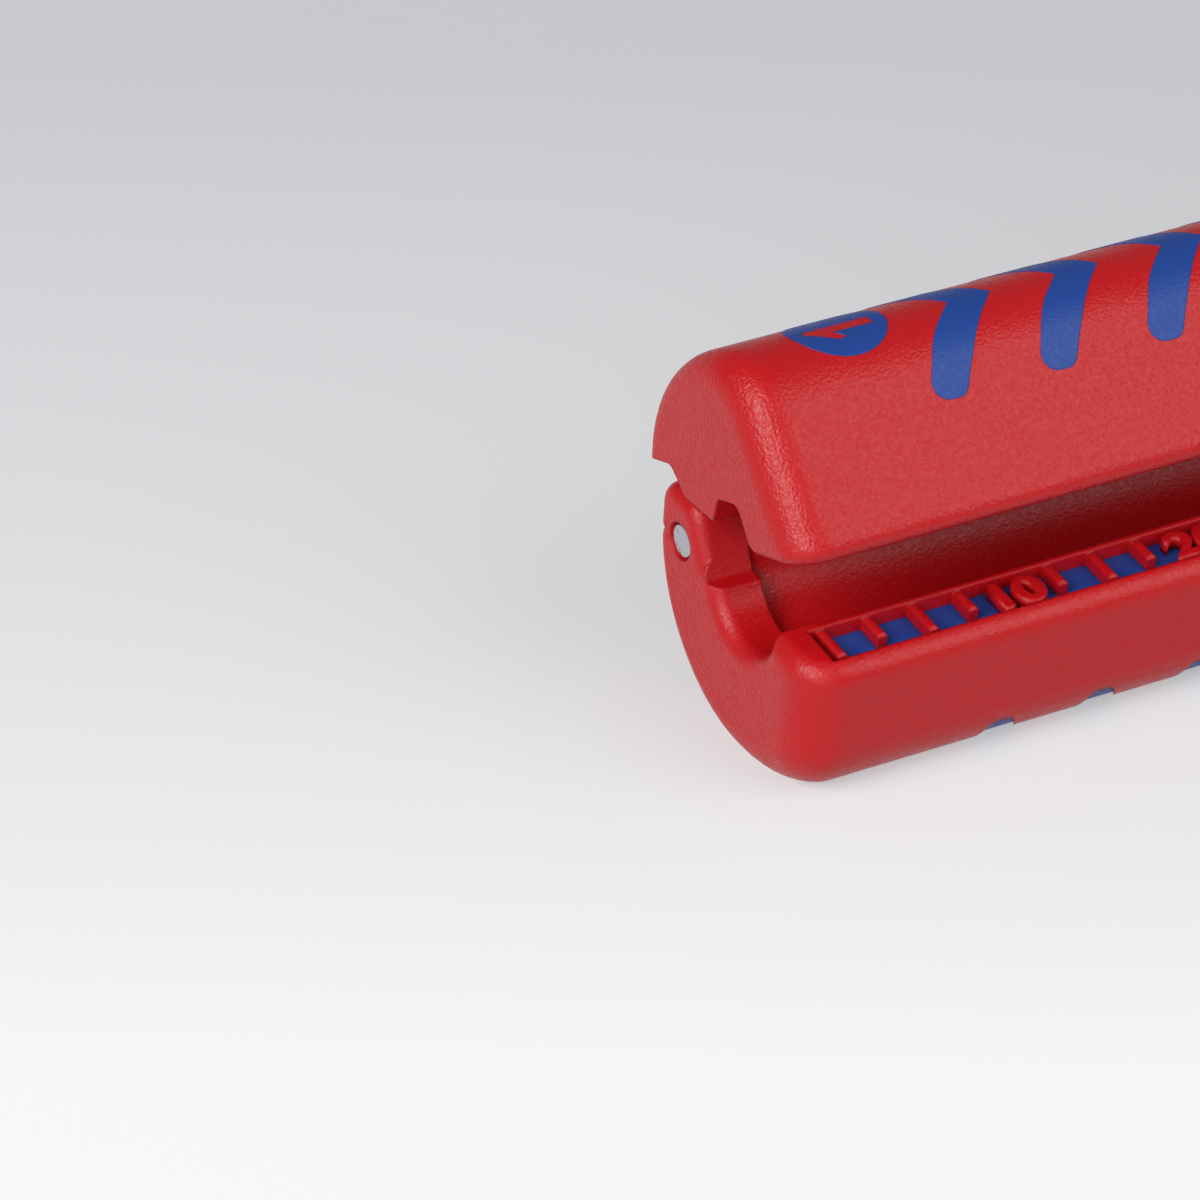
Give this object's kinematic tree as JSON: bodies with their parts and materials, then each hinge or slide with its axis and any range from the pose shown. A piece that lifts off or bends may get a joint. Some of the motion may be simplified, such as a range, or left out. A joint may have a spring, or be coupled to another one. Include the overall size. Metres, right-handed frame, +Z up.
{
  "type": "coaxial cable stripper",
  "caption": "Pocket coaxial cable stripper: long moulded half shells on a hinge pin, sprung open, with cable mouths, blades inside the ends and a scale along the ledge.",
  "frame": {"origin": "middle of the narrow flat under the lower shell that the tool rests on", "axes": "+X along the tool from mouth 1 to mouth 2, +Y back to the hinge, +Z up"},
  "size_m": [0.1, 0.0163, 0.0196],
  "materials": {
    "red_shell": "satin, fine spark-eroded grain",
    "blue_inlay": "matt, fine grain",
    "dark_holder": "matt",
    "pin_steel": "bright zinc",
    "spring_steel": "drawn wire",
    "blade_steel": "ground",
    "screw_steel": "zinc plated"
  },
  "bodies": {
    "lower": {"belly_chevron_1_1": "blue_inlay", "belly_chevron_1_2": "blue_inlay", "belly_chevron_1_3": "blue_inlay", "belly_chevron_1_4": "blue_inlay", "belly_chevron_1_5": "blue_inlay", "belly_chevron_2_1": "blue_inlay", "belly_chevron_2_2": "blue_inlay", "belly_chevron_2_3": "blue_inlay", "belly_chevron_2_4": "blue_inlay", "belly_chevron_2_5": "blue_inlay", "hinge_pin": "pin_steel", "lower_shell": "red_shell", "opening_spring_1": "spring_steel", "opening_spring_2": "spring_steel", "scale_strip_1": "blue_inlay", "scale_strip_2": "blue_inlay"},
    "upper": {"blade_holder_1": "dark_holder", "blade_holder_2": "dark_holder", "core_blade_2": "blade_steel", "holder_screw_1": "screw_steel", "holder_screw_2": "screw_steel", "jacket_blade_1": "blade_steel", "jacket_blade_2": "blade_steel", "top_badge_1": "blue_inlay", "top_badge_2": "blue_inlay", "top_chevron_1_1": "blue_inlay", "top_chevron_1_2": "blue_inlay", "top_chevron_1_3": "blue_inlay", "top_chevron_1_4": "blue_inlay", "top_chevron_1_5": "blue_inlay", "top_chevron_2_1": "blue_inlay", "top_chevron_2_2": "blue_inlay", "top_chevron_2_3": "blue_inlay", "top_chevron_2_4": "blue_inlay", "top_chevron_2_5": "blue_inlay", "upper_shell": "red_shell"}
  },
  "joints": [
    {"name": "jaw_hinge", "type": "hinge", "parent": "lower", "child": "upper", "pos_m": [0, 0.0065, 0.0077], "axis": [1, 0, 0], "range_deg": [0, 23.5], "stiffness_Nm_per_rad": 0.0035, "springref_deg": -28.65, "deforming": ["opening_spring_1", "opening_spring_2"]}
  ]
}
